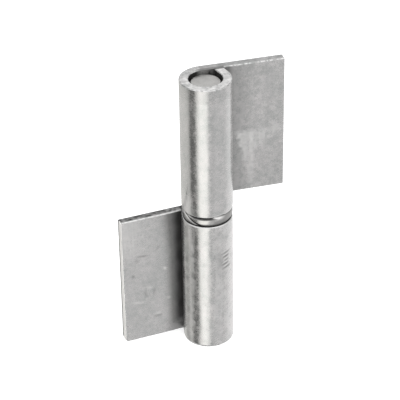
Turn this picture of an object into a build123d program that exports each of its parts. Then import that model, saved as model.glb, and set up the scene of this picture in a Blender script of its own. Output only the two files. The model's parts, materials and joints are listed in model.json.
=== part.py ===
"""Weld-on lift-off flag hinge.

Two flags of steel sheet are each rolled round a common pin. The frame half below grips the pin, the door
half above turns on it and lifts off it, and a split ring between the two knuckles takes the door's weight.
The origin is on the pin's axis at the lower end, +Z runs up the pin, and the frame leaf reaches towards -X
with its weld face at +Y.
"""

import os

from build123d import *

# Driving dimensions, in millimetres
sheet_thickness = 2.5
pin_diameter = 8.9
pin_recess = 1.1
pin_chamfer = 0.6
frame_leaf_height = 40.0
frame_leaf_reach = 23.4
frame_corner_radius = 1.2
door_leaf_height = 39.0
door_leaf_reach = 23.0
ring_thickness = 3.0
ring_edge_radius = 0.7
ring_slit_width = 1.2
roll_end_radius = 0.7
edge_radius = 0.3

# Clearances
running_clearance = 0.05
ring_step = 0.05
roll_seam_gap = 0.2

# Angles, in degrees
door_leaf_rest_turn = -6.3
roll_end_lean = 16.0
ring_slit_angle = 210.0
ring_slit_slant = 60.0

# Sizes that follow
pin_radius = pin_diameter / 2
gripping_bore_radius = pin_radius
turning_bore_radius = pin_radius + running_clearance
ring_bottom = frame_leaf_height
door_leaf_bottom = ring_bottom + ring_thickness
hinge_height = door_leaf_bottom + door_leaf_height
pin_length = hinge_height - pin_recess


def rolled_plan(bore_radius, reach):
    """Plan of one flag: a leaf along +X, tangent to the back of a knuckle whose rolled end closes against it."""
    outer_radius = bore_radius + sheet_thickness
    roll_end = bore_radius - roll_seam_gap
    inner_start = Vector(bore_radius, 0).rotate(Axis.Z, roll_end_lean)
    outer_start = Vector(outer_radius, 0).rotate(Axis.Z, roll_end_lean)
    onward = Vector(0, 1).rotate(Axis.Z, roll_end_lean)
    inner_end = inner_start + onward * ((roll_end - inner_start.Y) / onward.Y)
    outer_end = outer_start + onward * ((roll_end - outer_start.Y) / onward.Y)

    far = 2 * outer_radius
    open_sector = Polygon((0, 0), outer_start * 2, (far, far), (0, far), align=None)
    straight_end = Polygon(inner_start, outer_start, outer_end, inner_end, align=None)
    rolled = Circle(outer_radius) - Circle(bore_radius) - open_sector + straight_end
    end_corner = rolled.vertices().sort_by_distance(outer_end)[0]
    rolled = fillet(end_corner, roll_end_radius)
    leaf = Pos(0, bore_radius) * Rectangle(reach, sheet_thickness, align=(Align.MIN, Align.MIN))
    return rolled + leaf


def leaf_end_edges(flag, reach):
    """Upright edges at the free end of the leaf."""
    upright = flag.edges().filter_by(Axis.Z)
    return upright.filter_by(lambda edge: abs(edge.center().X - reach) < edge_radius / 2)


def end_plane_edges(flag):
    """Every edge of the flag's flat lower and upper ends."""
    ends = flag.faces().filter_by(Axis.Z)
    return ends.sort_by(Axis.Z)[0].edges() + ends.sort_by(Axis.Z)[-1].edges()


def rolled_flag(bore_radius, reach, height, lower_corner_radius=None):
    """One flag from its lower end at z = 0, with its sheared edges broken."""
    flag = extrude(rolled_plan(bore_radius, reach), height)
    if lower_corner_radius:
        across_sheet = flag.edges().filter_by(Axis.Y)
        lower_corner = across_sheet.sort_by_distance((reach, bore_radius, 0))[0]
        flag = fillet(lower_corner, lower_corner_radius)
    return fillet(end_plane_edges(flag) + leaf_end_edges(flag, reach), edge_radius)


def make_frame_leaf():
    """Lower flag, rolled tight on the pin, with its leaf towards -X."""
    flag = rolled_flag(gripping_bore_radius, frame_leaf_reach, frame_leaf_height, frame_corner_radius)
    return mirror(flag, about=Plane.YZ)


def make_door_leaf():
    """Upper flag, free to turn on the pin, at the angle where the hinge is at rest."""
    flag = rolled_flag(turning_bore_radius, door_leaf_reach, door_leaf_height)
    return Pos(0, 0, door_leaf_bottom) * Rot(0, 0, door_leaf_rest_turn) * flag


def make_pin():
    """Plain pin with bevelled ends, flush below and set back from the top of the door half."""
    rod = Cylinder(pin_radius, pin_length, align=(Align.CENTER, Align.CENTER, Align.MIN))
    return chamfer(rod.edges().filter_by(GeomType.CIRCLE), pin_chamfer)


def make_split_ring():
    """Wear ring bent from bar, with a slanted slit where its ends meet."""
    ring_radius = gripping_bore_radius + sheet_thickness - ring_step
    ring_width = ring_radius - turning_bore_radius
    standing = (Align.CENTER, Align.CENTER, Align.MIN)
    ring = Cylinder(ring_radius, ring_thickness, align=standing)
    ring = fillet(ring.edges().filter_by(GeomType.CIRCLE), ring_edge_radius)
    ring -= Cylinder(turning_bore_radius, ring_thickness, align=standing)

    slab = Box(2 * ring_width, ring_slit_width, 4 * ring_thickness)
    middle = Pos(turning_bore_radius + ring_width / 2, 0, ring_thickness / 2)
    slit = Rot(0, 0, ring_slit_angle) * middle * Rot(ring_slit_slant, 0, 0) * slab
    return Pos(0, 0, ring_bottom) * (ring - slit)


pieces = {
    "frame_leaf": make_frame_leaf(),
    "door_leaf": make_door_leaf(),
    "pin": make_pin(),
    "split_ring": make_split_ring(),
}

os.makedirs("parts", exist_ok=True)
for name, piece in pieces.items():
    export_step(piece, f"parts/{name}.step")
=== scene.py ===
# %% [markdown]
# # A lift-off flag hinge in bare steel
#
# The hinge is two flags of steel sheet rolled round one pin, with a split ring between them. The packed
# model already holds the pieces at their real size, so this lesson loads it as a fixed frame, rolls better
# looking pieces in the same places, gives them their finish, and lights them as in a small studio.

import json
import math

import bmesh
import bpy
from mathutils import Matrix, Vector, noise


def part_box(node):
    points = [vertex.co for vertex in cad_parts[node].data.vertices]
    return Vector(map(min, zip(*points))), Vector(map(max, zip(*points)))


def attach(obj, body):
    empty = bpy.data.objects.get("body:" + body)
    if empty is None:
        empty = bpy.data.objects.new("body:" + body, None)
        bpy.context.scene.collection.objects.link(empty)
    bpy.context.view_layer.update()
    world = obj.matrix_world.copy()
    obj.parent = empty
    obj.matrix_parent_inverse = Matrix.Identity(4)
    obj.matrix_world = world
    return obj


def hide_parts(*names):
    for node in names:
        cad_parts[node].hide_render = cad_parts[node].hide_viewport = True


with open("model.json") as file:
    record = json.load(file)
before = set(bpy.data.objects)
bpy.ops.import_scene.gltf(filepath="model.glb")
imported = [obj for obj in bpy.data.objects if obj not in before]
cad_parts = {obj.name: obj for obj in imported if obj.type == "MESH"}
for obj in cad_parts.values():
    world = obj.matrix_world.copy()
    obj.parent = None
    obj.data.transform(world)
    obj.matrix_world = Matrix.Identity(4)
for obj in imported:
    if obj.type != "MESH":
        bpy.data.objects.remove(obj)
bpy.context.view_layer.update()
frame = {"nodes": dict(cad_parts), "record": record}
MM = 0.001

# %% [markdown]
# ## Sizes that come from the frame
#
# Heights and reaches are read from the boxes of the CAD nodes, and the turn of the door leaf from the
# mount on its weld face. Only the wall and the small gaps, which a box can't tell, are written here.

# %% Sizes of the pieces
SHEET = 2.5 * MM
EDGE_BREAK = 0.3 * MM
SEAM_GAP = 0.2 * MM

frame_low, frame_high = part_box("frame_leaf")
door_low, door_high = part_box("door_leaf")
ring_low, ring_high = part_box("split_ring")
pin_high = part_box("pin")[1]

mounts = {mount["name"]: mount for mount in frame["record"]["mounts"]}
weld_normal = Vector(mounts["door_leaf_weld_face"]["axis"])
DOOR_TURN = -math.atan2(weld_normal.x, weld_normal.y)

FRAME_RADIUS = frame_high.x
DOOR_RADIUS = -door_low.x
RING_RADIUS = ring_high.x
FRAME_REACH = -frame_low.x
DOOR_REACH = (door_high.x - DOOR_RADIUS * math.sin(-DOOR_TURN)) / math.cos(DOOR_TURN)
FRAME_HEIGHT = frame_high.z - frame_low.z
DOOR_HEIGHT = door_high.z - door_low.z
RING_HEIGHT = ring_high.z - ring_low.z
print("door turn", round(math.degrees(DOOR_TURN), 2), "reach", round(DOOR_REACH / MM, 2))

# %% [markdown]
# ## One helper for every node tree
#
# Shader trees and geometry trees are both built by adding a node, setting it up and linking its inputs.
# A single function does that for all of them, so a tree reads as a list of what it adds.

# %% Node and colour helpers
def add(tree, kind, inputs=None, **settings):
    """Adds a node, with its settings and with values or links for the inputs that are named or numbered."""
    made = tree.nodes.new(kind)
    for name, value in settings.items():
        setattr(made, name, value)
    for key, value in (inputs or {}).items():
        if isinstance(value, bpy.types.NodeSocket):
            tree.links.new(value, made.inputs[key])
        else:
            made.inputs[key].default_value = value
    return made


def linear(hex_colour):
    """An sRGB hex colour as linear red, green, blue and alpha."""
    parts = [int(hex_colour[i : i + 2], 16) / 255 for i in (1, 3, 5)]
    return [c / 12.92 if c <= 0.04045 else ((c + 0.055) / 1.055) ** 2.4 for c in parts] + [1.0]


print("the middle sRGB grey is", round(linear("#808080")[0], 3), "in linear light")

# %% [markdown]
# ## Rolling sheet round a pin
#
# A press bends the flat blank round the pin, so the same thing is done here. The blank is modelled flat,
# with X along the strip, Y through the sheet and Z up, and a geometry tree bends it: the first stretch
# stays straight as the leaf, the next goes round the pin, and what is left runs straight on. The ring
# goes through the same tree, with no leaf. A bend modifier could do it too, but not with a straight
# stretch at both ends.

# %% Bend of a flat strip
def rolled_position(tree, given):
    """Where each point of a flat strip goes when the strip is bent round the upright axis."""
    position = add(tree, "GeometryNodeInputPosition").outputs[0]
    along, through, up = add(tree, "ShaderNodeSeparateXYZ", {0: position}).outputs

    on_leaf = add(tree, "ShaderNodeMath", {0: along, 1: given["Reach"]}, operation="MINIMUM").outputs[0]
    leaf_x = add(tree, "ShaderNodeMath", {0: given["Reach"], 1: on_leaf}, operation="SUBTRACT").outputs[0]
    past_leaf = add(tree, "ShaderNodeMath", {0: along, 1: on_leaf}, operation="SUBTRACT").outputs[0]
    radius, full_turn = given["Middle Radius"], given["Roll Angle"]
    turned = add(tree, "ShaderNodeMath", {0: past_leaf, 1: radius}, operation="DIVIDE").outputs[0]
    angle = add(tree, "ShaderNodeMath", {0: turned, 1: full_turn}, operation="MINIMUM").outputs[0]
    on_roll = add(tree, "ShaderNodeMath", {0: angle, 1: radius}, operation="MULTIPLY").outputs[0]
    minus_rest = add(tree, "ShaderNodeMath", {0: on_roll, 1: past_leaf}, operation="SUBTRACT").outputs[0]

    out = add(tree, "ShaderNodeMath", {0: radius, 1: through}, operation="ADD").outputs[0]
    arm = add(tree, "ShaderNodeCombineXYZ", {0: minus_rest, 1: out}).outputs[0]
    swing = {"Vector": arm, "Angle": angle}
    swung = add(tree, "ShaderNodeVectorRotate", swing, rotation_type="Z_AXIS").outputs[0]
    start = add(tree, "ShaderNodeCombineXYZ", {0: leaf_x, 2: up}).outputs[0]
    return add(tree, "ShaderNodeVectorMath", {0: start, 1: swung}, operation="ADD").outputs[0]


# %% Geometry tree that rolls a blank
def rolling_tree():
    """A tree that bends a flat strip round the upright axis, places it and gives it its material."""
    tree = bpy.data.node_groups.new("roll round the pin", "GeometryNodeTree")
    face = tree.interface
    face.new_socket("Geometry", in_out="INPUT", socket_type="NodeSocketGeometry")
    for name in ("Reach", "Middle Radius", "Roll Angle"):
        face.new_socket(name, in_out="INPUT", socket_type="NodeSocketFloat")
    face.new_socket("Turn", in_out="INPUT", socket_type="NodeSocketVector")
    face.new_socket("Place", in_out="INPUT", socket_type="NodeSocketVector")
    face.new_socket("Material", in_out="INPUT", socket_type="NodeSocketMaterial")
    face.new_socket("Geometry", in_out="OUTPUT", socket_type="NodeSocketGeometry")

    given = tree.nodes.new("NodeGroupInput").outputs
    rolled = rolled_position(tree, given)
    bent = add(tree, "GeometryNodeSetPosition", {"Geometry": given["Geometry"], "Position": rolled})
    stand = {"Geometry": bent.outputs[0], "Translation": given["Place"], "Rotation": given["Turn"]}
    placed = add(tree, "GeometryNodeTransform", stand)
    rounded = add(tree, "GeometryNodeSetShadeSmooth", {"Geometry": placed.outputs[0]})
    real = add(tree, "GeometryNodeRealizeInstances", {"Geometry": rounded.outputs[0]})
    coat = {"Geometry": real.outputs[0], "Material": given["Material"]}
    coated = add(tree, "GeometryNodeSetMaterial", coat)
    add(tree, "NodeGroupOutput", {0: coated.outputs[0]})
    return tree


roll_tree = rolling_tree()
print("rolling tree has", len(roll_tree.nodes), "nodes")

# %% Roll one blank
def rolled_piece(name, blank, material, reach, middle_radius, roll_angle, turn, place):
    """Rolls a flat blank and returns it as a plain mesh object at the origin."""
    piece = bpy.data.objects.new(name, blank)
    bpy.context.scene.collection.objects.link(piece)
    modifier = piece.modifiers.new("roll", "NODES")
    modifier.node_group = roll_tree
    values = {
        "Reach": reach,
        "Middle Radius": middle_radius,
        "Roll Angle": roll_angle,
        "Turn": turn,
        "Place": place,
        "Material": material,
    }
    for item in roll_tree.interface.items_tree:
        if item.in_out == "INPUT" and item.name in values:
            modifier[item.identifier] = values[item.name]
    graph = bpy.context.evaluated_depsgraph_get()
    mesh = bpy.data.meshes.new_from_object(piece.evaluated_get(graph))
    mesh.name = name
    piece.modifiers.remove(modifier)
    piece.data = mesh
    print(name, "has", len(mesh.polygons), "faces")
    return piece


# %% [markdown]
# ## The flat blanks
#
# A blank is a slab cut into a grid that is fine enough to bend, with its sheared edges broken by a small
# bevel. A subdivided cube would give the same grid everywhere, so the lines are placed one by one instead:
# close together only where something small has to show.

# %% Lines of the grid
def grid_lines(stretches, margin):
    """Places along one side: just inside each end, and at even steps in (start, end, step) stretches."""
    low, high = stretches[0][0], stretches[-1][1]
    lines = {low + margin, high - margin}
    for start, end, step in stretches:
        count = max(1, round((end - start) / step))
        lines.update(start + (end - start) * i / count for i in range(count + 1))
    kept = [low]
    for place in sorted(lines):
        inside = low + margin <= place <= high - margin
        if inside and place - kept[-1] > margin / 4:
            kept.append(place)
    return kept + [high]


print("a side of 10 mm in steps of 1 mm has", len(grid_lines([(0.0, 10 * MM, MM)], EDGE_BREAK)), "lines")

# %% Slab on a grid
RIM_LAYERS = (-1.0, -0.35, 0.0, 0.35, 1.0)


def rounded_corner(place, radius, top):
    """Draws the upper corner at the free end of a strip in to a quarter circle."""
    a = (radius - place.x) / radius
    b = (place.z - top + radius) / radius
    if a > 0 and b > 0:
        place.x = radius * (1 - a * math.sqrt(1 - b * b / 2))
        place.z = top - radius * (1 - b * math.sqrt(1 - a * a / 2))


def slab_mesh(along, up, half, corner_radius):
    """A closed slab on the given grid lines, with a few layers of points in its sheared rim."""
    mesh = bmesh.new()
    last_i, last_k = len(along) - 1, len(up) - 1
    rim = [(i, 0) for i in range(last_i)] + [(last_i, k) for k in range(last_k)]
    rim += [(i, last_k) for i in range(last_i, 0, -1)] + [(0, k) for k in range(last_k, 0, -1)]
    everywhere = [(i, k) for i in range(last_i + 1) for k in range(last_k + 1)]
    points = {}
    for layer in RIM_LAYERS:
        for i, k in everywhere if abs(layer) == 1.0 else rim:
            place = Vector((along[i], layer * half, up[k]))
            if corner_radius:
                rounded_corner(place, corner_radius, up[-1])
            points[layer, i, k] = mesh.verts.new(place)
    for i in range(last_i):
        for k in range(last_k):
            around = [(i, k), (i + 1, k), (i + 1, k + 1), (i, k + 1)]
            for face in (-1.0, 1.0):
                mesh.faces.new([points[face, *at] for at in around])
    for here, there in zip(rim, rim[1:] + rim[:1]):
        for near, far in zip(RIM_LAYERS, RIM_LAYERS[1:]):
            corners = [(near, *here), (near, *there), (far, *there), (far, *here)]
            mesh.faces.new([points[corner] for corner in corners])
    bmesh.ops.recalc_face_normals(mesh, faces=mesh.faces)
    return mesh


print("a sheared rim has", len(RIM_LAYERS), "layers of points")

# %% [markdown]
# ## What a blank stores
#
# Each point of a blank stores two shares: how dark dirt and painted shade make it there, and how pale wear
# and painted highlights make it. Only the flat strip knows these, because the painted shade is deepest
# where the roll will close, so they are worked out before the bending. A texture painted later would have
# to find those places again.

# %% Edges, finish and relief of a blank
SQUARE_EDGE = math.radians(60)
BREAK_STEPS = 4


def smooth(value, low, high):
    """Rises smoothly from 0 at low to 1 at high."""
    share = min(1.0, max(0.0, (value - low) / (high - low)))
    return share * share * (3 - 2 * share)


def finish_blank(name, mesh, edge, half, relief, finish, skew):
    """Breaks the edges of a slab, stores its finish, adds its relief and skews it, as mesh data."""
    sharp = [line for line in mesh.edges if line.calc_face_angle() > SQUARE_EDGE]
    bmesh.ops.bevel(
        mesh,
        geom=sharp,
        offset=edge,
        segments=BREAK_STEPS,
        profile=0.5,
        affect="EDGES",
        clamp_overlap=False,
    )
    # Dark share: dirt and painted shade. Pale share: wear and painted highlights
    dirt_and_shade = mesh.verts.layers.float.new("dirt_and_shade")
    wear_and_highlight = mesh.verts.layers.float.new("wear_and_highlight")
    for vertex in mesh.verts:
        x, y, z = vertex.co
        vertex[dirt_and_shade], vertex[wear_and_highlight] = finish(x, y, z)
        vertex.co.y += y / half * relief(x, y, z)
        sideways, upward = skew(x, y, z)
        vertex.co.x += sideways
        vertex.co.z += upward
    data = bpy.data.meshes.new(name)
    mesh.to_mesh(data)
    mesh.free()
    return data


print("edges over", round(math.degrees(SQUARE_EDGE)), "degrees are broken in", BREAK_STEPS, "steps")

# %% [markdown]
# ## Unevenness of pressed sheet
#
# The faces of a blank aren't quite flat: sheet that is bent cold in a press keeps a slight unevenness, a
# few hundredths of a millimetre deep. It can't be seen by itself, but it makes the long highlights on the
# knuckles waver. A bump in the material could do that too, but then the exported shapes would be too true.

# %% Waver of the sheet
SLOW_DEPTH = 0.03 * MM
SLOW_SIZE = (7 * MM, 16 * MM)
RIPPLE_SIZE = (2.0 * MM, 3.0 * MM)
STREAK_SIZE = (1.7 * MM, 14 * MM)


def waver(along, up, seed, ripple, streak):
    """Height of the sheet's slow unevenness, its finer ripple and its streaks along the pin."""
    slow = noise.noise(Vector((along / SLOW_SIZE[0], up / SLOW_SIZE[1], seed)))
    fine = noise.noise(Vector((along / RIPPLE_SIZE[0], up / RIPPLE_SIZE[1], seed + 7.0)))
    long = noise.noise(Vector((along / STREAK_SIZE[0], up / STREAK_SIZE[1], seed + 15.0)))
    return SLOW_DEPTH * slow + ripple * fine + streak * long


print("the sheet wavers by up to about", round(SLOW_DEPTH / MM, 3), "mm, before ripple and streaks")

# %% [markdown]
# ## Marks from handling
#
# The frame half looks as if serrated jaws had held it: a short ladder of nicks shows on the right of the
# lower knuckle. Colour alone would make them look painted on, so they are real dents, darker inside, with a
# paler stripe beside each that is a painted highlight, where a burr would catch the light. The frame leaf
# has a few faint scratches too, which are too shallow to need a shape and are only darker or paler.

# %% Strokes and nicks
NICK_COUNT = 5
NICK_PITCH = 1.2 * MM
NICK_LENGTH = 3.2 * MM
NICK_WIDTH = 0.32 * MM
NICK_SLANT = math.radians(7)
NICK_STAGGER = 0.35 * MM


def stroke_share(dx, dz, length, width, slant):
    """How far a place lies in a tapered stroke, from 0 to 1, by its offset from the stroke's middle."""
    lengthwise = dx * math.cos(slant) + dz * math.sin(slant)
    across = dz * math.cos(slant) - dx * math.sin(slant)
    return max(0.0, 1 - (2 * lengthwise / length) ** 2) * math.exp(-((across / width) ** 2))


def nick_share(along, up, middle_along, middle_up):
    """How deep a place on the blank lies in a nick, from 0 to 1. No two nicks are quite alike."""
    share = 0.0
    for i in range(NICK_COUNT):
        dx = along - middle_along - NICK_STAGGER * math.sin(3.0 * i)
        dz = up - middle_up - (i - (NICK_COUNT - 1) / 2) * NICK_PITCH
        length = NICK_LENGTH * (0.85 + 0.25 * math.sin(5.0 * i + 1.0))
        strength = 0.85 + 0.15 * math.sin(2.6 * i - 1.0)
        share += strength * stroke_share(dx, dz, length, NICK_WIDTH, NICK_SLANT)
    return min(share, 1.0)


print(NICK_COUNT, "nicks over", round((NICK_COUNT - 1) * NICK_PITCH / MM, 1), "mm")

# %% Scratches on the frame leaf
# Distance from the axis, height, length and width in millimetres, slant in degrees, and strength
DARK_SCRATCHES = [
    (17.6, 27.8, 4.2, 0.35, 8, 0.34),
    (19.1, 26.5, 1.8, 0.5, 50, 0.28),
    (20.4, 21.7, 1.0, 0.4, 0, 0.42),
    (13.5, 6.7, 3.0, 0.35, 0, 0.34),
    (14.4, 15.0, 3.4, 0.4, 95, 0.24),
    (16.9, 14.9, 3.2, 0.4, 80, 0.22),
    (13.0, 29.5, 2.6, 0.4, 120, 0.18),
]
PALE_SCRATCHES = [
    (11.05, 22.2, 1.4, 0.45, 60, 1.0),
    (10.1, 12.0, 1.5, 0.45, 20, 1.0),
    (19.6, 12.6, 6.0, 0.4, 12, 0.4),
    (15.6, 16.8, 2.6, 0.4, 10, 0.4),
    (13.6, 7.4, 2.2, 0.4, -15, 0.5),
]


def scratch_share(scratches, out, height):
    """How strongly the scratches of one list show at a place on the frame leaf."""
    share = 0.0
    for middle_out, middle_up, length, width, slant, strength in scratches:
        dx, dz = out - middle_out * MM, height - middle_up * MM
        share += strength * stroke_share(dx, dz, length * MM, width * MM, math.radians(slant))
    return share


print(len(DARK_SCRATCHES), "dark and", len(PALE_SCRATCHES), "pale scratches")

# %% [markdown]
# ## Bare steel finishes
#
# All three kinds of steel here are bare, so one function makes them: a satin metal with clouds, mottling
# and grain, then a few pits and scratches, then the wear and painted highlights, and the dirt and painted
# shade, that the piece stores. A picture of steel would show the same scratches on every piece, so the
# patterns are worked out from the place on the piece instead. Real grain is far finer than a pixel of the
# render, which covers about a quarter of a millimetre, so it is drawn as coarse as it needs to show, at
# about half a millimetre.

# %% Patterns in the steel
MOTTLE_SIZE = 1.5 * MM
STREAK_WIDTH = 0.9 * MM
STREAK_STRETCH = 0.12


def steel_patterns(tree, place, cloud_size, grain_size):
    """Clouds, mottling, grain and streaks along the pin, each as a value round 0.5."""
    cloudy = {"Vector": place, "Scale": 1 / cloud_size, "Detail": 4.0}
    clouds = add(tree, "ShaderNodeTexNoise", cloudy).outputs[0]
    blotchy = {"Vector": place, "Scale": 1 / MOTTLE_SIZE, "Detail": 3.0}
    mottle = add(tree, "ShaderNodeTexNoise", blotchy).outputs[0]
    grainy = {"Vector": place, "Scale": 1 / grain_size, "Detail": 2.0}
    grain = add(tree, "ShaderNodeTexNoise", grainy).outputs[0]
    stretch = {"Vector": place, "Scale": (1.0, 1.0, STREAK_STRETCH)}
    along_pin = add(tree, "ShaderNodeMapping", stretch).outputs[0]
    streaky = {"Vector": along_pin, "Scale": 1 / STREAK_WIDTH, "Detail": 3.0}
    streaks = add(tree, "ShaderNodeTexNoise", streaky).outputs[0]
    return clouds, mottle, grain, streaks


print("streaks are", round(1 / STREAK_STRETCH, 1), "times as long as wide")

# %% Colour of the steel
PIT_SPACING = 2.6 * MM
PIT_COLOUR = "#6E6C6A"
SCRATCH_SPACING = 2.4 * MM
SCRATCH_STRETCH = 0.07
SCRATCH_TURN = (0.25, 0.7, 0.2)
SCRATCH_COLOUR = "#E4E4E3"


def marked_colour(tree, place, clouds, mottle, grain, pale, dark):
    """The metal's uneven colour, with a few dark pits where it is cloudy and a few pale scratches."""
    uneven = add(tree, "ShaderNodeMath", {0: clouds, 1: mottle}, operation="ADD").outputs[0]
    speckled = add(tree, "ShaderNodeMath", {0: uneven, 1: grain}, operation="ADD").outputs[0]
    tint = add(tree, "ShaderNodeMapRange", {"Value": speckled, "From Min": 1.1, "From Max": 1.9}).outputs[0]
    tones = {0: tint, 6: linear(dark), 7: linear(pale)}
    base = add(tree, "ShaderNodeMix", tones, data_type="RGBA").outputs[2]

    spots = add(tree, "ShaderNodeTexVoronoi", {"Vector": place, "Scale": 1 / PIT_SPACING})
    in_pit = {
        "Value": spots.outputs["Distance"],
        "From Min": 0.05,
        "From Max": 0.1,
        "To Min": 1.0,
        "To Max": 0.0,
    }
    pit = add(tree, "ShaderNodeMapRange", in_pit).outputs[0]
    where = {"Value": clouds, "From Min": 0.52, "From Max": 0.6, "To Min": 0.0, "To Max": 0.6}
    few = add(tree, "ShaderNodeMapRange", where).outputs[0]
    pits = add(tree, "ShaderNodeMath", {0: pit, 1: few}, operation="MULTIPLY").outputs[0]
    pitting = {0: pits, 6: base, 7: linear(PIT_COLOUR)}
    pitted = add(tree, "ShaderNodeMix", pitting, data_type="RGBA").outputs[2]

    drawn = {"Vector": place, "Scale": (1.0, 1.0, SCRATCH_STRETCH), "Rotation": SCRATCH_TURN}
    stretched = add(tree, "ShaderNodeMapping", drawn).outputs[0]
    lines = add(tree, "ShaderNodeTexVoronoi", {"Vector": stretched, "Scale": 1 / SCRATCH_SPACING})
    in_line = {
        "Value": lines.outputs["Distance"],
        "From Min": 0.02,
        "From Max": 0.06,
        "To Min": 0.45,
        "To Max": 0.0,
    }
    scratch = add(tree, "ShaderNodeMapRange", in_line).outputs[0]
    scratching = {0: scratch, 6: pitted, 7: linear(SCRATCH_COLOUR)}
    return add(tree, "ShaderNodeMix", scratching, data_type="RGBA").outputs[2]


print("pits lie about", round(PIT_SPACING / MM, 1), "mm apart, where there are any")

# %% Wear and dirt on the steel
WEAR_AND_HIGHLIGHT_COLOUR = "#F3F2F1"
DIRT_AND_SHADE_COLOUR = "#100F0E"


def wear_and_painted_light_colour(tree, marked, streaks):
    """The colour paled in strokes by wear and painted highlights, darkened by dirt and painted shade, and
    both shares.
    """
    stored = add(tree, "ShaderNodeAttribute", attribute_name="wear_and_highlight").outputs["Fac"]
    in_strokes = {"Value": streaks, "From Min": 0.35, "From Max": 0.65, "To Min": 0.7, "To Max": 1.3}
    strokes = add(tree, "ShaderNodeMapRange", in_strokes).outputs[0]
    paling = add(tree, "ShaderNodeMath", {0: stored, 1: strokes}, operation="MULTIPLY", use_clamp=True)
    wear_and_highlight = paling.outputs[0]
    wear = {0: wear_and_highlight, 6: marked, 7: linear(WEAR_AND_HIGHLIGHT_COLOUR)}
    paler = add(tree, "ShaderNodeMix", wear, data_type="RGBA").outputs[2]
    dirt_and_shade = add(tree, "ShaderNodeAttribute", attribute_name="dirt_and_shade").outputs["Fac"]
    dirt = {0: dirt_and_shade, 6: paler, 7: linear(DIRT_AND_SHADE_COLOUR)}
    return add(tree, "ShaderNodeMix", dirt, data_type="RGBA").outputs[2], wear_and_highlight, dirt_and_shade


# The pale colour stands for wear and painted highlights, the dark one for dirt and painted shade
print("rubbed steel is", WEAR_AND_HIGHLIGHT_COLOUR, "and scale", DIRT_AND_SHADE_COLOUR)

# %% Roughness of the steel
WEAR_AND_HIGHLIGHT_ROUGHNESS = 0.3
DIRT_AND_SHADE_ROUGHNESS = 0.25


def steel_roughness(tree, mottle, grain, streaks, wear_and_highlight, dirt_and_shade, bright, dull):
    """Satin bands between two roughnesses, duller where the stored wear, dirt and painted light lie."""
    banded = add(tree, "ShaderNodeMath", {0: mottle, 1: streaks}, operation="ADD").outputs[0]
    patches = add(tree, "ShaderNodeMath", {0: banded, 1: grain}, operation="ADD").outputs[0]
    in_patch = {"Value": patches, "From Min": 1.2, "From Max": 1.8, "To Min": bright, "To Max": dull}
    satin = add(tree, "ShaderNodeMapRange", in_patch).outputs[0]
    with_wear_and_highlight = {0: wear_and_highlight, 1: WEAR_AND_HIGHLIGHT_ROUGHNESS, 2: satin}
    duller = add(tree, "ShaderNodeMath", with_wear_and_highlight, operation="MULTIPLY_ADD").outputs[0]
    with_dirt_and_shade = {0: dirt_and_shade, 1: DIRT_AND_SHADE_ROUGHNESS, 2: duller}
    return add(tree, "ShaderNodeMath", with_dirt_and_shade, operation="MULTIPLY_ADD").outputs[0]


# Full dirt and painted shade add this much to the roughness
print("full scale adds", DIRT_AND_SHADE_ROUGHNESS, "to the roughness")

# %% The whole finish
EDGE_SHEEN = 0.15


def bare_steel(name, pale, dark, dull, bright, cloud_size, grain_size, grain_depth, mottle_depth):
    """Satin steel between two colours and two roughnesses, with the wear, dirt and painted light that its
    piece stores.
    """
    material = bpy.data.materials.new(name)
    material.use_nodes = True
    tree = material.node_tree
    shader = tree.nodes["Principled BSDF"]
    shader.inputs["Specular IOR Level"].default_value = EDGE_SHEEN

    place = add(tree, "ShaderNodeTexCoord").outputs["Object"]
    clouds, mottle, grain, streaks = steel_patterns(tree, place, cloud_size, grain_size)
    marked = marked_colour(tree, place, clouds, mottle, grain, pale, dark)
    darkened, wear_and_highlight, dirt_and_shade = wear_and_painted_light_colour(tree, marked, streaks)
    tree.links.new(darkened, shader.inputs["Base Color"])
    rough = steel_roughness(tree, mottle, grain, streaks, wear_and_highlight, dirt_and_shade, bright, dull)
    tree.links.new(rough, shader.inputs["Roughness"])

    # Where dirt and painted shade are deep, the steel is made less metallic
    deep_darkening = {"Value": dirt_and_shade, "From Min": 0.6, "From Max": 0.88, "To Min": 1.0, "To Max": 0.1}
    metal = add(tree, "ShaderNodeMapRange", deep_darkening).outputs[0]
    tree.links.new(metal, shader.inputs["Metallic"])

    blotches = add(tree, "ShaderNodeBump", {"Height": mottle, "Distance": mottle_depth}).outputs[0]
    bump = {"Height": grain, "Distance": grain_depth, "Normal": blotches}
    tree.links.new(add(tree, "ShaderNodeBump", bump).outputs[0], shader.inputs["Normal"])
    return material


# %% [markdown]
# ## The three steels
#
# The flags are cold-rolled sheet, satin with soft clouds. The pin is drawn bar with a sawn end, so it is
# duller and a little darker. The ring is bent from bar and carries the door's weight, so it is worn a
# little smoother. One steel for all would be simpler, but the pin would then look like part of the sheet.

# %% Sheet, pin and ring steel
# Pickled and cold-rolled: a pale satin grey with soft clouds, and highlights that stay long and narrow
sheet_steel = bare_steel(
    "cold_rolled_steel",
    pale="#DBD9D9",
    dark="#C2C4C3",
    dull=0.33,
    bright=0.17,
    cloud_size=6 * MM,
    grain_size=0.5 * MM,
    grain_depth=0.009 * MM,
    mottle_depth=0.005 * MM,
)
# Drawn through a die and sawn off: an even, darker grey with a broad, soft sheen
pin_steel = bare_steel(
    "drawn_bar_steel",
    pale="#C9C8C6",
    dark="#B5B4B2",
    dull=0.4,
    bright=0.3,
    cloud_size=2 * MM,
    grain_size=0.4 * MM,
    grain_depth=0.008 * MM,
    mottle_depth=0.006 * MM,
)
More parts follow.
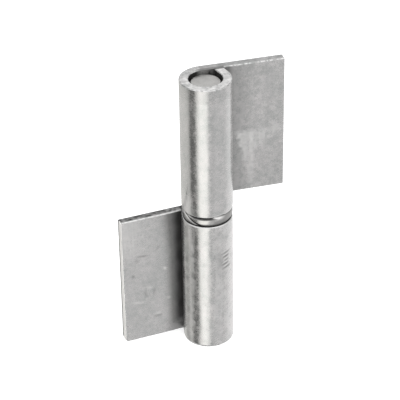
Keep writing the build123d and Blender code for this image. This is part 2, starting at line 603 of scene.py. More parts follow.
# Bent from bar and worn smooth by turning under load: clear, fairly sharp highlights between dirty edges
ring_steel = bare_steel(
    "bent_bar_steel",
    pale="#D3D2D1",
    dark="#C4C4C2",
    dull=0.26,
    bright=0.18,
    cloud_size=3 * MM,
    grain_size=0.5 * MM,
    grain_depth=0.006 * MM,
    mottle_depth=0.005 * MM,
)
frame["nodes"]["pin"].data.materials.clear()
frame["nodes"]["pin"].data.materials.append(pin_steel)
print("materials", [steel.name for steel in (sheet_steel, pin_steel, ring_steel)])

# %% [markdown]
# ## The two flags
#
# Both come from the same kind of blank, lower edge towards the ring. The door flag is rolled as it lies and
# lifted to its height. The frame flag is turned upside down, so that its leaf reaches the other way and
# both weld faces lie at the back. The rolled end leans in a little and is cut to lie along the leaf. A
# class holds the sizes of one flag, because the marks on both are placed by the same few distances.

# %% Grid of a flag
GRID_MARGIN = EDGE_BREAK + 0.06 * MM
LEAF_STEP = 0.4 * MM
ROLL_STEP = 0.3 * MM
NICK_STEP = 0.12 * MM
CORNER_STEPS = 4
CORNER_CLEAR = 1.1


def corner_lines(lines, low_radius, high_radius):
    """Replaces the lines at one end by a few that lie inside a rounded corner."""
    low, high = lines[0], lines[-1]
    clear = [x for x in lines if low + CORNER_CLEAR * low_radius < x < high - CORNER_CLEAR * high_radius]
    steps = [i / CORNER_STEPS for i in range(CORNER_STEPS + 1)]
    start = [low + low_radius * s for s in steps] if low_radius else [low, low + GRID_MARGIN]
    end = [high - high_radius * s for s in reversed(steps)] if high_radius else [high - GRID_MARGIN, high]
    return start + [x for x in clear if start[-1] < x < end[0]] + end


print("grid steps in mm:", [round(step / MM, 2) for step in (LEAF_STEP, ROLL_STEP, NICK_STEP)])

# %% What the flags share
ROLL_LEAN = math.radians(16)
ROLL_ANGLE = 1.5 * math.pi + ROLL_LEAN
HALF_SHEET = SHEET / 2
END_LENGTH = 0.75 * MM


class Flag:
    """Sizes of one rolled flag, with its places along the flat strip."""

    def __init__(self, radius, reach, height):
        self.radius, self.reach, self.height = radius, reach, height
        self.middle = radius - HALF_SHEET
        self.roll_end = reach + ROLL_ANGLE * self.middle
        self.total = self.roll_end + self.straight(self.middle)
        self.contact = radius / math.cos(ROLL_LEAN) - self.stop() * math.tan(ROLL_LEAN)

    def stop(self):
        """How far behind the axis the rolled end stops, just short of the leaf."""
        return self.radius - SHEET - SEAM_GAP

    def straight(self, layer_radius):
        """Length of the straight end at one layer of the sheet."""
        return (self.stop() - layer_radius * math.sin(ROLL_LEAN)) / math.cos(ROLL_LEAN)

    def skew(self, x, y, z):
        """Cuts the rolled end along the leaf."""
        share = max(0.0, x - self.roll_end) / self.straight(self.middle)
        return share * (self.straight(self.middle + y) - self.straight(self.middle)), 0.0

    def off_wall(self, x):
        """Distance on the leaf from where the rolled end meets it, negative inside the knuckle."""
        return self.reach - x - self.contact

    def turned(self, x):
        """How far round the knuckle a place on the strip lies, in radians."""
        return (x - self.reach) / self.middle

    def on_knuckle(self, x):
        """Rises from 0 on the leaf to 1 on the knuckle."""
        return smooth(x, self.reach - 2 * MM, self.reach + 2 * MM)

    def end_drop(self, x, y, z, drop):
        """Turns the knuckle's end in towards the ring."""
        on_knuckle = smooth(x, self.reach - END_LENGTH, self.reach + END_LENGTH) if y > 0 else 0.0
        return -drop * on_knuckle * max(0.0, 1 - z / END_LENGTH)


door = Flag(DOOR_RADIUS, DOOR_REACH, DOOR_HEIGHT)
lower = Flag(FRAME_RADIUS, FRAME_REACH, FRAME_HEIGHT)
print("flat strips are", [round(flag.total / MM, 1) for flag in (door, lower)], "mm long")

# %% Roll one flag
def roll_flag(flag, name, turn, place, relief, finish, fine=None, corner=0.0):
    """Rolls a flag. The grid is finer in the stretch that the fine place and size give."""
    along = [(0.0, flag.reach, LEAF_STEP), (flag.reach, flag.roll_end, ROLL_STEP)]
    along.append((flag.roll_end, flag.total, LEAF_STEP))
    up = [(0.0, flag.height, LEAF_STEP)]
    if fine:
        (x, z), (width, rise) = fine
        along[1:2] = [
            (flag.reach, x - width, ROLL_STEP),
            (x - width, x + width, NICK_STEP),
            (x + width, flag.roll_end, ROLL_STEP),
        ]
        up = [
            (0.0, z - rise, LEAF_STEP),
            (z - rise, z + rise, NICK_STEP),
            (z + rise, flag.height, LEAF_STEP),
        ]
    along_lines = grid_lines(along, GRID_MARGIN)
    up_lines = grid_lines(up, GRID_MARGIN)
    if corner:
        along_lines = corner_lines(along_lines, corner, 0.0)
        up_lines = corner_lines(up_lines, 0.0, corner)
    mesh = slab_mesh(along_lines, up_lines, HALF_SHEET, corner)
    blank = finish_blank(name + "_blank", mesh, EDGE_BREAK, HALF_SHEET, relief, finish, flag.skew)
    return rolled_piece(name, blank, sheet_steel, flag.reach, flag.middle, ROLL_ANGLE, turn, place)


# %% [markdown]
# ## Painted shade and dirt on a flag
#
# The bore, the corner where the roll closes on the leaf, the crease at the rolled end and the groove next
# to the ring get painted shade, which thins out over the leaf. A sheared edge is torn on one half of the
# sheet and holds dirt there. Darkening every corner in the shader would be less work, but it would also
# darken clean ones, and it can't tell a torn edge from a cut one.

# %% Painted shade inside the roll
HAZE_REACH = 6.8 * MM
HAZE_STEEP = 3.5
BORE_PALE = 1.0 * MM
BORE_SHADE = 0.5
BORE_DARKER = 0.47
DARKEST_SHADE = 0.97


def inside_painted_shade(flag, x, z, depth, spread, steep, haze):
    """Painted shade on the face that looks at the pin: in the bore, and on the leaf where the roll closes.
    """
    patchy = 1 + 0.06 * noise.noise(Vector((x / (2.5 * MM), z / (4.5 * MM), 31.0)))
    off = flag.off_wall(x)
    if off < 0:
        # Painted shade in the bore, palest near where the leaf runs in
        return BORE_SHADE + BORE_DARKER * smooth(abs(x - flag.reach + BORE_PALE), 0.6 * MM, 3 * MM)
    # Painted shade from the knuckle on the leaf: deep beside it, and a thinner one spread further out
    close = depth * math.exp(-((off / spread) ** steep))
    thin = haze * math.exp(-((off / HAZE_REACH) ** HAZE_STEEP))
    return min(DARKEST_SHADE, max(close, thin) * patchy)


print("the haze reaches", round(HAZE_REACH / MM, 1), "mm over the leaf")

# %% Dirt and painted shade all over a flag
SKIN = 0.01 * MM
CREASE_SHADE = 0.85
GROOVE_SHADE = 0.92
RIM_DIRT = 0.5
CUT_FLECKS = 0.22


def dirt_and_painted_shade(flag, x, y, z, depth, spread, steep, haze, torn):
    """Painted shade in the bore, where the roll closes, in the crease and by the ring; dirt on torn edges.
    """
    if y < -HALF_SHEET + SKIN:
        return inside_painted_shade(flag, x, z, depth, spread, steep, haze)
    # Painted shade in the crease where the rolled end closes on the leaf
    if y > HALF_SHEET - SKIN:
        return CREASE_SHADE * smooth(x, flag.roll_end - 0.6 * MM, flag.roll_end + 0.4 * MM)
    # Painted shade in the groove between the knuckle and the ring
    if z < EDGE_BREAK and flag.off_wall(x) < 0:
        return GROOVE_SHADE * smooth(HALF_SHEET - y, 0.08 * MM, 0.22 * MM)
    fleck = noise.noise(Vector((x, y, z)) / (0.9 * MM))
    if x < EDGE_BREAK:
        return torn * (0.8 + 0.5 * fleck) * smooth(y, 0.0, 0.3 * HALF_SHEET)
    if min(z, flag.height - z) < SKIN and flag.off_wall(x) > -flag.contact:
        return torn * (0.8 + 0.5 * fleck) * smooth(y, -0.9 * HALF_SHEET, -0.55 * HALF_SHEET)
    if EDGE_BREAK > flag.height - z > SKIN:
        return RIM_DIRT * smooth(noise.noise(Vector((x, y, z)) / (0.55 * MM)), -0.3, 0.3)
    return CUT_FLECKS * smooth(fleck, -0.1, 0.4)


# The value printed is the painted shade in the groove next to the ring
print("grime next to the ring is", GROOVE_SHADE)

# %% [markdown]
# ## Wear and painted shade on the door flag
#
# Something has rubbed a three-cornered patch on the front of the door leaf: it starts beside the knuckle,
# runs out along a faint line and narrows downwards. Inside it the painted shade from the knuckle is
# lightened as well as the steel paled. Noise makes its edges ragged, because a clean outline would look
# drawn. The rim of the seam, where the rolled end closes on the leaf, gets painted shade.

# %% Rubbed patch of the door leaf
PATCH_TOP = 61.5 * MM
PATCH_FOOT = 46.5 * MM
PATCH_LEFT = (9.3 * MM, 12.9 * MM)
PATCH_RIGHT = 14.3 * MM
FLARE_FROM = 55.0 * MM
FLARE_WIDTH = 8.0 * MM
LINE_WIDTH = 0.35 * MM


def rubbed_patch(out, height):
    """How far rubbing has left the door leaf paler, by distance from the axis and height."""
    down = (PATCH_TOP - height) / (PATCH_TOP - PATCH_FOOT)
    left = PATCH_LEFT[0] + down * (PATCH_LEFT[1] - PATCH_LEFT[0])
    flare = smooth(height, FLARE_FROM, PATCH_TOP)
    right = PATCH_RIGHT + FLARE_WIDTH * flare
    ragged = noise.noise(Vector((out, height, 0.0)) / (0.9 * MM))
    inside = smooth(min(out - left, PATCH_TOP - height) + 1.0 * MM * ragged, -0.4 * MM, 0.7 * MM)
    blur = (1.2 + 2.0 * flare) * MM
    fading = smooth(right - out + 1.2 * MM * ragged, -blur, 0.7 * blur)
    fading *= (1 - 0.55 * smooth(out, 13 * MM, 21 * MM)) * (1 - 0.55 * smooth(down, 0.3, 0.8))
    line = 0.5 * math.exp(-(((height - PATCH_TOP) / LINE_WIDTH) ** 2)) * smooth(out, 8 * MM, 10 * MM)
    return max(inside * fading * (1 + 0.3 * ragged), line)


print("patch is", round((PATCH_TOP - PATCH_FOOT) / MM, 1), "mm high")

# %% Painted shade round the seam of the door flag
SEAM_SHADE = 0.7


def seam_shade(x, y, z):
    """Painted shade on the upper rim of the leaf over the bore, and on the rolled end that closes against
    it.
    """
    on_top = smooth(z, door.height - EDGE_BREAK - 0.1 * MM, door.height - EDGE_BREAK)
    short_of_roll = 1 - smooth(x, door.reach, door.reach + 3 * MM)
    over_bore = smooth(-door.off_wall(x), -0.4 * MM, 0.0) * short_of_roll
    at_rim = 1 - smooth(y, -HALF_SHEET + 0.3 * MM, -HALF_SHEET + 0.6 * MM)
    at_end = smooth(x, door.total - 0.6 * MM, door.total - 0.3 * MM)
    return SEAM_SHADE * on_top * max(over_bore * at_rim, at_end)


# The value printed is the painted shade at the tip of the rolled end
print("seam dirt at the rolled end", seam_shade(door.total, 0.0, door.height))

# %% [markdown]
# ## Rolling the door flag
#
# The last few millimetres of the upper knuckle are duller and very slightly swollen, as a die leaves them
# where it grips, and its lower end is turned in towards the ring, most of all over the ring's notch. The
# end face is mottled and pale in front. All of this goes into the flat blank, like the other marks, so
# that the roll carries it to its place.

# %% Dirt, painted shade and wear on the door flag
GROOVE_FROM = math.radians(130)
LIP_FROM = math.radians(176)
LIP_SHADE = 0.25
LOW_HAZE = 0.06
LOW_HAZE_FADE = (8 * MM, 15 * MM)
PATCH_PALE = 0.33
PATCH_LIGHTENS = 0.8
FACE_PALE = 0.45
DULL_END = 4.2 * MM
DULL_DEPTH = 0.07
SCUFF_BEARING = math.radians(112)
SCUFF_PALE = 0.55
SCUFF_WIDTH = 0.35
SCUFF_FADE = (4 * MM, 9 * MM)


def door_finish(x, y, z):
    """Dirt and painted shade on the door flag, its rubbed patch, and the wear at both ends of its knuckle.
    """
    dirt_and_shade = dirt_and_painted_shade(door, x, y, z, depth=0.75, spread=3.0 * MM, steep=2.2, haze=0.3, torn=0.4)
    dirt_and_shade = max(dirt_and_shade, seam_shade(x, y, z))
    turned = door.turned(x)
    # Less of the painted groove shade where the lower end is turned in over the lip
    if z < EDGE_BREAK and turned > 0:
        past_groove = smooth(turned, LIP_FROM, LIP_FROM + 0.05)
        over_drop = smooth(turned, GROOVE_FROM - 0.15, GROOVE_FROM) * (1 - past_groove)
        dirt_and_shade *= LIP_SHADE + (1 - LIP_SHADE) * over_drop
    # Front of the leaf: darker towards its foot, and the rubbed patch, which pales it and lightens the
    # painted shade
    if y < -HALF_SHEET + SKIN and door.off_wall(x) > 0:
        dirt_and_shade = max(dirt_and_shade, LOW_HAZE * (1 - smooth(z, *LOW_HAZE_FADE)))
        wear_and_highlight = rubbed_patch(door.reach - x, door_low.z + z)
        return dirt_and_shade * (1 - PATCH_LIGHTENS * min(wear_and_highlight, 1.0)), PATCH_PALE * wear_and_highlight
    if door.height - z < SKIN and door.off_wall(x) < 0:
        mottled = noise.noise(Vector((x, y, z)) / (0.7 * MM))
        return dirt_and_shade, max(0.0, FACE_PALE + 0.8 * mottled) * smooth(turned, 0.4, 1.8)
    if y > 0:
        wobble = 0.5 * MM * noise.noise(Vector((x / (3 * MM), 0.0, 9.0)))
        in_die = smooth(z + wobble, door.height - DULL_END, door.height - DULL_END + 0.4 * MM)
        spotty = 1 + 0.5 * noise.noise(Vector((x, z, 2.0)) / (1.2 * MM))
        scuffed = math.exp(-(((turned - SCUFF_BEARING) / SCUFF_WIDTH) ** 4))
        dull = DULL_DEPTH * door.on_knuckle(x) * in_die * spotty
        return max(dirt_and_shade, dull), SCUFF_PALE * scuffed * (1 - smooth(z, *SCUFF_FADE))
    return dirt_and_shade, 0.0


print("the die gripped the upper", round(DULL_END / MM, 1), "mm of the knuckle")

# %% Roll the door flag
SWELL = 0.04 * MM
LIP_TO = math.radians(205)
LIP_FADE = 0.1
DOOR_RIPPLE = 0.012 * MM
DOOR_STREAK = 0.008 * MM
# Turned in by this much, in millimetres
DOOR_DROP = 0.08
LIP_DROP = 0.24


def door_relief(x, y, z):
    """Unevenness of the door flag, with its swollen upper end and its turned-in lower one."""
    if y < 0 and door.off_wall(x) < 0:
        return 0.0
    near_top = smooth(z, door.height - DULL_END, door.height - DULL_END + 1.2 * MM)
    swell = SWELL * near_top if x > door.reach and y > 0 else 0.0
    turned = door.turned(x)
    lip = smooth(turned, LIP_FROM, LIP_FROM + LIP_FADE) * (1 - smooth(turned, LIP_TO, LIP_TO + LIP_FADE))
    drop = (DOOR_DROP + LIP_DROP * lip) * MM
    return waver(x, z, 3.0, DOOR_RIPPLE, DOOR_STREAK) + swell + door.end_drop(x, y, z, drop)


door_flag = roll_flag(
    door,
    "door_flag",
    (0.0, 0.0, DOOR_TURN),
    (0.0, 0.0, door_low.z),
    door_relief,
    door_finish,
)
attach(door_flag, "door_half")
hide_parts("door_leaf")

# %% [markdown]
# ## Wear and painted light on the frame flag
#
# Round the lower knuckle there is a streak of painted shade beside the leaf, a painted highlight next to
# it, a paler side with faint blotches, and the nicks with a smudge beside them. The leaf's free end shows
# how it
# was sheared: one half burnished bright by the blade, the other torn and dark. Its upper corner is paler.
# Each mark is placed by its distance along the flat strip, which is simpler than an angle and a radius.

# %% Wear, painted shade and painted highlights on the lower knuckle
SHADE_STREAK_PLACE = lower.reach + math.radians(257) * lower.middle
SHADE_STREAK_WIDTH = 0.75 * MM
SHADE_STREAK_DEPTH = 0.4
BLOTCH_DEPTH = 0.07
SIDE_PALE = 0.18
SIDE_PALE_TO = math.radians(195)
RIDGE_HIGHLIGHT = 0.35
RIDGE_BEARING = math.radians(240)
RIDGE_WIDTH = math.radians(8)
SMUDGE_DEPTH = 0.16
SMUDGE_LENGTH = 11 * MM
SMUDGE_WIDTH = 0.8 * MM
NICK_BEARING = math.radians(156)
NICK_HEIGHT = 28.3 * MM
BURR_HIGHLIGHT_DROP = 0.5 * MM
NICK_SHOW = 0.7

nick_place = (lower.reach + NICK_BEARING * lower.middle, lower.height - NICK_HEIGHT)
smudge_place = (nick_place[0] + 1.6 * MM, nick_place[1] + 1.3 * MM)


def lower_knuckle_finish(x, z, dirt_and_shade):
    """Dirt, painted shade, painted highlights and a paler side on the outside of the frame flag."""
    blotch = noise.noise(Vector((x, z, 0.0)) / (2.2 * MM))
    blotch += 0.6 * noise.noise(Vector((x, z, 9.0)) / (0.9 * MM))
    edge = 0.35 * MM * noise.noise(Vector((0.0, z / (2 * MM), 17.0)))
    # A streak of painted shade on the knuckle beside the leaf
    across = (x - SHADE_STREAK_PLACE + edge) / SHADE_STREAK_WIDTH
    uneven = 0.8 + 0.5 * noise.noise(Vector((x, z, 0.0)) / (1.6 * MM))
    streak = SHADE_STREAK_DEPTH * math.exp(-(across ** 4)) * uneven
    dx, dz = x - smudge_place[0], z - smudge_place[1]
    smudge = SMUDGE_DEPTH * stroke_share(dx, dz, SMUDGE_LENGTH, SMUDGE_WIDTH, math.pi / 2)
    blotched = BLOTCH_DEPTH * lower.on_knuckle(x) * smooth(blotch, 0.0, 0.6)
    in_nick = NICK_SHOW * nick_share(x, z, *nick_place)
    dirt_and_shade = max(dirt_and_shade, in_nick, streak, smudge * (1 + 0.6 * blotch), blotched)

    turned = lower.turned(x)
    # A painted highlight below each nick, where a burr would catch the light
    burr_highlight = NICK_SHOW * nick_share(x, z, nick_place[0], nick_place[1] - BURR_HIGHLIGHT_DROP)
    # Paler over one side of the knuckle, less so where it is blotched
    pale_side = smooth(turned, 0.2, 0.6) * (1 - smooth(turned, SIDE_PALE_TO - 0.15, SIDE_PALE_TO))
    # A painted highlight next to the streak of painted shade
    ridge = math.exp(-(((turned - RIDGE_BEARING) / RIDGE_WIDTH) ** 2))
    return dirt_and_shade, max(burr_highlight, max(SIDE_PALE * pale_side, RIDGE_HIGHLIGHT * ridge) * (1 - 0.8 * blotch))


print("nicks lie", round(math.degrees(NICK_BEARING)), "degrees round the knuckle from the leaf")

# %% Dirt, painted shade, wear and painted highlights on the frame flag
PALE_CORNER = 0.36
# Depth and spread of the painted shade where the roll closes on the leaf
CLOSE_DEPTH = 0.97
THINNER_AT_FOOT = 0.42
FOOT_STRETCH = (35.0 * MM, 38.5 * MM)
RING_STRETCH = 14 * MM
# Spread over the leaf, in millimetres
CLOSE_SPREAD = 3.7
WIDER_AT_RING = 0.9
WIDER_AT_FOOT = 1.0


def frame_finish(x, y, z):
    """Dirt, painted shade and light, and wear on the frame flag, whose flat blank has its foot at the top.
    """
    at_foot = smooth(z, *FOOT_STRETCH)
    near_ring = 1 - smooth(z, 0.0, RING_STRETCH)
    depth = CLOSE_DEPTH - THINNER_AT_FOOT * at_foot
    spread = (CLOSE_SPREAD + WIDER_AT_RING * near_ring + WIDER_AT_FOOT * at_foot) * MM
    dirt_and_shade = dirt_and_painted_shade(lower, x, y, z, depth, spread, steep=3.0, haze=0.04, torn=0.9)
    if y > 0:
        return lower_knuckle_finish(x, z, dirt_and_shade)
    if x < EDGE_BREAK:
        return dirt_and_shade, smooth(-y, -0.3 * HALF_SHEET, 0.0)
    if y < -HALF_SHEET + SKIN and lower.off_wall(x) > 0:
        out, height = lower.reach - x, lower.height - z
        dirt_and_shade = max(dirt_and_shade, scratch_share(DARK_SCRATCHES, out, height))
        pale_corner = PALE_CORNER * smooth(out, 13 * MM, 22 * MM) * smooth(height, 22 * MM, 34 * MM)
        return dirt_and_shade, max(pale_corner, scratch_share(PALE_SCRATCHES, out, height))
    return dirt_and_shade, 0.0


print("frame flag is", round(lower.height / MM, 1), "mm high")

# %% Roll the frame flag
FRAME_CORNER = 1.2 * MM
FRAME_RIPPLE = 0.025 * MM
FRAME_STREAK = 0.025 * MM
FRAME_DROP = 0.12 * MM
NICK_DEPTH = 0.07 * MM
NICK_FIELD = (2.2 * MM, 4.2 * MM)


def frame_relief(x, y, z):
    """Unevenness and grip marks of the frame flag, whose bore grips the pin and stays true."""
    if y < 0 and lower.off_wall(x) < 0:
        return 0.0
    marks = -NICK_DEPTH * nick_share(x, z, *nick_place) if y > 0 else 0.0
    return waver(x, z, 11.0, FRAME_RIPPLE, FRAME_STREAK) + marks + lower.end_drop(x, y, z, FRAME_DROP)


frame_flag = roll_flag(
    lower,
    "frame_flag",
    (0.0, math.pi, 0.0),
    (0.0, 0.0, frame_high.z),
    frame_relief,
    frame_finish,
    fine=(nick_place, NICK_FIELD),
    corner=FRAME_CORNER,
)
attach(frame_flag, "frame_half")
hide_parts("frame_leaf")

# %% [markdown]
# ## The split ring
#
# A short bar bent round the pin, with well rounded edges and ends cut at a slant, so that one runs a
# little under the other. Its first end is bent down as far as a notch in the upper edge, and beside the
# notch a short stretch of that edge has a painted highlight. Painted shade fills the grooves above and
# below the ring, its bore and the slit, and lies more thinly on its face past the notch. It is rolled
# from a flat bar, as the flags are from sheet.

# %% Shape of the ring
RING_BORE = pin_high.x + 0.05 * MM
RING_EDGE = 0.7 * MM
RING_SLIT_BEARING = math.radians(210)
RING_SLIT_GAP = 1.0 * MM
RING_HEAD_SLANT = math.radians(62)
RING_TAIL_SLANT = math.radians(59)
RING_BEND = 2.6 * MM
RING_NOTCH = 7.2 * MM
RING_NOTCH_HALF = 0.2 * MM
RING_DROP = 0.35 * MM

ring_wall = RING_RADIUS - RING_BORE
ring_middle = RING_RADIUS - ring_wall / 2
ring_lead = math.tan(RING_TAIL_SLANT) * RING_HEIGHT
ring_length = 2 * math.pi * ring_middle - RING_SLIT_GAP


def dropped(x):
    """How far the bar's first end is bent down, from 0 to 1, as far as a notch in its upper edge."""
    past_notch = smooth(x, RING_NOTCH - RING_NOTCH_HALF, RING_NOTCH + RING_NOTCH_HALF)
    return smooth(x, 0.0, RING_BEND) * (1 - past_notch)


def ring_skew(x, y, z):
    """Slants the two ends of the bar, each at its own angle, and bends the first one down at its top."""
    share = x / ring_length
    slope = (1 - share) * math.tan(RING_HEAD_SLANT) + share * math.tan(RING_TAIL_SLANT)
    return ring_lead - slope * (z - RING_HEIGHT / 2), -RING_DROP * dropped(x) * (z / RING_HEIGHT) ** 2


print("the ring's bar is", round(ring_length / MM, 1), "mm long")

# %% Painted shade and highlight of the ring
RING_DARK = 1.0 * MM
RING_LIP = 3.6 * MM
RING_SHADE = 0.46
RING_SHADE_DEPTH = 0.9


def ring_finish(x, y, z):
    """Painted shade in the grooves, past the notch, in the bore and the slit, and a painted highlight by
    the notch.
    """
    # Painted shade in the grooves and bore; the upper groove is darker where the end is bent down
    open_groove = 1.0
    if z > RING_HEIGHT / 2:
        off_lip = smooth(x, RING_NOTCH, RING_NOTCH + RING_LIP)
        open_groove = 0.15 + 0.85 * max(dropped(x), 0.6 * off_lip)
    in_gap = open_groove * smooth(ring_wall / 2 - y, 0.06 * MM, 0.2 * MM)
    in_groove = max(in_gap, smooth(RING_DARK - z, 0.0, 0.3 * MM))
    under_drop = dropped(x) * smooth(z, RING_HEIGHT - 0.62 * MM, RING_HEIGHT - 0.37 * MM)

    notch_shift = ring_skew(RING_NOTCH, y, RING_HEIGHT)[0]
    past_notch = x + ring_skew(x, y, z)[0] - RING_NOTCH - notch_shift
    past_lip = smooth(past_notch, 0.5 * RING_LIP, RING_LIP)
    on_face = max(past_lip, 1 - smooth(z, RING_HEIGHT - 1.3 * MM, RING_HEIGHT - 0.8 * MM))
    shaded = RING_SHADE * on_face * smooth(past_notch, 0.0, 0.7 * MM)
    dirt_and_shade = max(in_groove, under_drop, shaded)
    # Painted shade on the cut ends in the slit
    off_end = min(x, ring_length - x)
    if off_end < RING_EDGE:
        dirt_and_shade = max(dirt_and_shade * 0.6, 0.3 * smooth(RING_EDGE - off_end, 0.2 * MM, 0.6 * MM))

    # Painted highlight on the upper edge beside the notch
    notch_highlight = smooth(x, RING_NOTCH, RING_NOTCH + 0.3 * MM) * (1 - past_lip)
    at_edge = smooth(z, RING_HEIGHT - 1.0 * MM, RING_HEIGHT - 0.6 * MM) if y > 0 else 0.0
    return RING_SHADE_DEPTH * dirt_and_shade, notch_highlight * at_edge


print("the bright edge is about", round(RING_LIP / MM, 1), "mm long")

# %% Bend the ring
RING_STEP = 0.3 * MM
RING_MARGIN = RING_EDGE + 0.06 * MM
RING_FALL = 0.45 * MM
RING_FALL_HEIGHT = 1.3 * MM
RING_RIPPLE = 0.012 * MM
NO_STOP = 4 * math.pi


def ring_relief(x, y, z):
    """Slight unevenness of the ring's outside, which falls in further towards its lower edge."""
    if y < 0:
        return 0.0
    return waver(x, z, 23.0, RING_RIPPLE, 0.0) - RING_FALL * max(0.0, 1 - z / RING_FALL_HEIGHT) ** 2


ring_lines = grid_lines([(0.0, ring_length, RING_STEP)], RING_MARGIN)
ring_up = grid_lines([(0.0, RING_HEIGHT, RING_STEP)], RING_MARGIN)
ring_mesh = slab_mesh(ring_lines, ring_up, ring_wall / 2, 0.0)
ring_blank = finish_blank(
    "split_ring_blank", ring_mesh, RING_EDGE, ring_wall / 2, ring_relief, ring_finish, ring_skew
)
half_slit = RING_SLIT_GAP / 2 / ring_middle
ring_turn = RING_SLIT_BEARING - math.pi / 2 + half_slit - ring_lead / ring_middle
bent_ring = rolled_piece(
    "bent_ring",
    ring_blank,
    ring_steel,
    0.0,
    ring_middle,
    NO_STOP,
    (0.0, 0.0, ring_turn),
    (0.0, 0.0, ring_low.z),
)
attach(bent_ring, "wear_ring")
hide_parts("split_ring")

# %% [markdown]
# ## The camera
#
# The photograph is a plain product view from a little to the left and well above, through a long lens.
# A camera placed by eye could come close, but the turn, rise, distance and focal length were fitted to
# the hinge's outline, so that the two pictures can be laid over each other.

# %% Camera
CAMERA_TURN = math.radians(-21.043)
CAMERA_RISE = math.radians(32.740)
CAMERA_ROLL = math.radians(-0.889)
CAMERA_DISTANCE = 470.526 * MM
CAMERA_AIM = 40.0 * MM
CAMERA_SIDESTEP = (-1.915 * MM, 3.806 * MM)
PIXELS = 400
FOCAL_PIXELS = 1733.03

camera_data = bpy.data.cameras.new("camera")
camera_data.sensor_width = 36.0
camera_data.lens = FOCAL_PIXELS / PIXELS * camera_data.sensor_width
camera = bpy.data.objects.new("camera", camera_data)
bpy.context.scene.collection.objects.link(camera)
bpy.context.scene.camera = camera

level = math.cos(CAMERA_RISE)
back = Vector((math.sin(CAMERA_TURN) * level, -math.cos(CAMERA_TURN) * level, math.sin(CAMERA_RISE)))
right = Vector((math.cos(CAMERA_TURN), math.sin(CAMERA_TURN), 0.0))
up = back.cross(right)
aim = Vector((0.0, 0.0, CAMERA_AIM)) + CAMERA_SIDESTEP[0] * right + CAMERA_SIDESTEP[1] * up
rolled_right = math.cos(CAMERA_ROLL) * right + math.sin(CAMERA_ROLL) * up
rolled_up = math.cos(CAMERA_ROLL) * up - math.sin(CAMERA_ROLL) * right
axes = Matrix((rolled_right, rolled_up, back)).transposed().to_4x4()
camera.matrix_world = Matrix.Translation(aim + CAMERA_DISTANCE * back) @ axes
print("the lens is", round(camera_data.lens, 1), "mm on a sensor", camera_data.sensor_width, "mm wide")

# %% [markdown]
# ## The white table
#
# The hinge stands on white with no shadow and no mirror image. The floor glows a little so that it comes
# out pure white, and it is left out of the steel's reflections, so that the room below the horizon shows
# in them as it would on a glass table.

# %% Floor
FLOOR = 4.0
FLOOR_GLOW = 0.45
FLOOR_ROUGHNESS = 0.9

floor_mesh = bpy.data.meshes.new("floor")
floor_corners = [(-FLOOR, -FLOOR, 0), (FLOOR, -FLOOR, 0), (FLOOR, FLOOR, 0), (-FLOOR, FLOOR, 0)]
floor_mesh.from_pydata(floor_corners, [], [(0, 1, 2, 3)])
floor = bpy.data.objects.new("floor", floor_mesh)
bpy.context.scene.collection.objects.link(floor)
# Matt white laminate: an even white with no highlight
floor_paint = bpy.data.materials.new("white_laminate")
floor_paint.use_nodes = True
floor_shader = floor_paint.node_tree.nodes["Principled BSDF"]
floor_shader.inputs["Base Color"].default_value = linear("#F4F4F4")
floor_shader.inputs["Roughness"].default_value = FLOOR_ROUGHNESS
floor_shader.inputs["Emission Color"].default_value = linear("#FFFFFF")
floor_shader.inputs["Emission Strength"].default_value = FLOOR_GLOW
floor_mesh.materials.append(floor_paint)
floor.visible_glossy = False
floor.visible_shadow = False
print("the floor is", 2 * FLOOR, "m wide")

# %% [markdown]
# ## The room in the steel
#
# Upright steel seen from above mirrors what lies low around it, so the room below the horizon is what
# gives the knuckles their stripes: a light strip, a dark gap to its left and a grey surround, with softer
# bands at the back. They are bands of brightness by compass bearing, seen from the camera. Towards the
# foot of the hinge the light strip is cut a little narrower. Cards and lamps could do the same, but a
# room that is only a colour ramp is quick to render and easy to adjust.

# %% Brightness by bearing
# Degrees to the right of the camera, and brightness
ROOM_BANDS = [
    (-180, 0.26), (-170, 0.24), (-156, 0.48), (-112, 0.49), (-82, 0.45), (-75, 0.11), (-49, 0.11),
    (-41, 0.55), (-33, 0.84), (-24, 0.90), (4, 0.90), (12, 0.41), (34, 0.40), (40, 0.445),
    (92, 0.44), (100, 0.54), (122, 0.63), (140, 0.61), (150, 0.72), (160, 0.68), (170, 0.44), (180, 0.26),
]
WARM_SIDE = (1.0, 0.99, 0.957)
PLAIN_SIDE = (1.0, 0.992, 0.99)
WARM_TO = 8
print(len(ROOM_BANDS), "stops round the room")

# %% Bearing and rise of a direction
STRIP_CUT = math.radians(6)
STRIP_CUT_FROM = math.radians(-20)
STRIP_CUT_FULL = math.radians(-8)
# Upward part of the directions that the foot of the hinge mirrors
FOOT_FROM = -0.538
FOOT_FULL = -0.549

world = bpy.data.worlds.new("studio")
bpy.context.scene.world = world
world.use_nodes = True
room = world.node_tree
direction = add(room, "ShaderNodeTexCoord").outputs["Generated"]
flat_back = Vector((back.x, back.y, 0.0)).normalized()
beside = add(room, "ShaderNodeVectorMath", {0: direction, 1: right}, operation="DOT_PRODUCT")
before = add(room, "ShaderNodeVectorMath", {0: direction, 1: flat_back}, operation="DOT_PRODUCT")
to_right, to_front = beside.outputs["Value"], before.outputs["Value"]
bearing = add(room, "ShaderNodeMath", {0: to_right, 1: to_front}, operation="ARCTAN2").outputs[0]
rise = add(room, "ShaderNodeSeparateXYZ", {0: direction}).outputs[2]

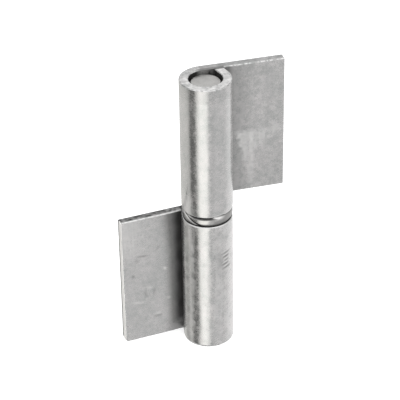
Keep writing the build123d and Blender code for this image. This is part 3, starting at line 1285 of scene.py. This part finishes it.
at_foot = {"Value": rise, "From Min": FOOT_FROM, "From Max": FOOT_FULL}
low_down = add(room, "ShaderNodeMapRange", at_foot).outputs[0]
on_right = {"Value": bearing, "From Min": STRIP_CUT_FROM, "From Max": STRIP_CUT_FULL, "To Max": STRIP_CUT}
cut = add(room, "ShaderNodeMapRange", on_right).outputs[0]
shift = {0: low_down, 1: cut, 2: bearing}
cut_bearing = add(room, "ShaderNodeMath", shift, operation="MULTIPLY_ADD").outputs[0]
full_circle = {"Value": cut_bearing, "From Min": -math.pi, "From Max": math.pi}
share = add(room, "ShaderNodeMapRange", full_circle).outputs[0]
bands = add(room, "ShaderNodeValToRGB", {0: share})
stops = bands.color_ramp.elements
while len(stops) < len(ROOM_BANDS):
    stops.new(1.0)
for stop, (degrees, brightness) in zip(stops, ROOM_BANDS):
    side = WARM_SIDE if degrees < WARM_TO else PLAIN_SIDE
    stop.position = degrees / 360 + 0.5
    stop.color = [brightness * part for part in side] + [1.0]
print("the strip is cut by", round(math.degrees(STRIP_CUT)), "degrees at the foot")

# %% Walls, ceiling and ground
ROOM_STRENGTH = 1.6
UNDER = 0.6
FRONT_ABOVE = 0.75
BACK_ABOVE = 0.55
FRONT_FADE = (-0.2, 0.4)
CEILING_FADE = (-0.25, 0.05)
GROUND_FADE = (-0.75, -0.95)

ahead = {"Value": to_front, "From Min": FRONT_FADE[0], "From Max": FRONT_FADE[1]}
frontness = add(room, "ShaderNodeMapRange", ahead).outputs[0]
ceiling = {"Value": frontness, "To Min": BACK_ABOVE, "To Max": FRONT_ABOVE}
overhead = add(room, "ShaderNodeMapRange", ceiling).outputs[0]
upward = {"Value": rise, "From Min": CEILING_FADE[0], "From Max": CEILING_FADE[1]}
above = add(room, "ShaderNodeMapRange", upward, interpolation_type="SMOOTHSTEP").outputs[0]
downward = {"Value": rise, "From Min": GROUND_FADE[0], "From Max": GROUND_FADE[1]}
below = add(room, "ShaderNodeMapRange", downward, interpolation_type="SMOOTHSTEP").outputs[0]
meet = {0: above, 6: bands.outputs[0], 7: overhead}
walls = add(room, "ShaderNodeMix", meet, data_type="RGBA").outputs[2]
ground = {0: below, 6: walls, 7: (UNDER, UNDER, UNDER, 1.0)}
all_round = add(room, "ShaderNodeMix", ground, data_type="RGBA").outputs[2]
background = room.nodes["Background"]
room.links.new(all_round, background.inputs["Color"])
background.inputs["Strength"].default_value = ROOM_STRENGTH
print("the room has", len(room.nodes), "nodes")

# %% [markdown]
# ## The softbox
#
# One wide, weak light overhead brings out the upward faces: the cut edges of the leaves and the end of
# the upper knuckle. A small lamp would do that as well, but it would show as a spot in the steel.

# %% Overhead softbox
SOFTBOX_SIDE = 0.9
SOFTBOX_POWER = 2.2
SOFTBOX_PLACE = (-0.1, -0.1, 0.9)

softbox_data = bpy.data.lights.new("softbox", "AREA")
softbox_data.shape = "RECTANGLE"
softbox_data.size = SOFTBOX_SIDE
softbox_data.size_y = SOFTBOX_SIDE
softbox_data.energy = SOFTBOX_POWER
softbox = bpy.data.objects.new("softbox", softbox_data)
bpy.context.scene.collection.objects.link(softbox)
softbox.matrix_world = Matrix.Translation(SOFTBOX_PLACE)
bpy.context.scene.view_settings.view_transform = "Standard"
print("softbox of", SOFTBOX_POWER, "W")
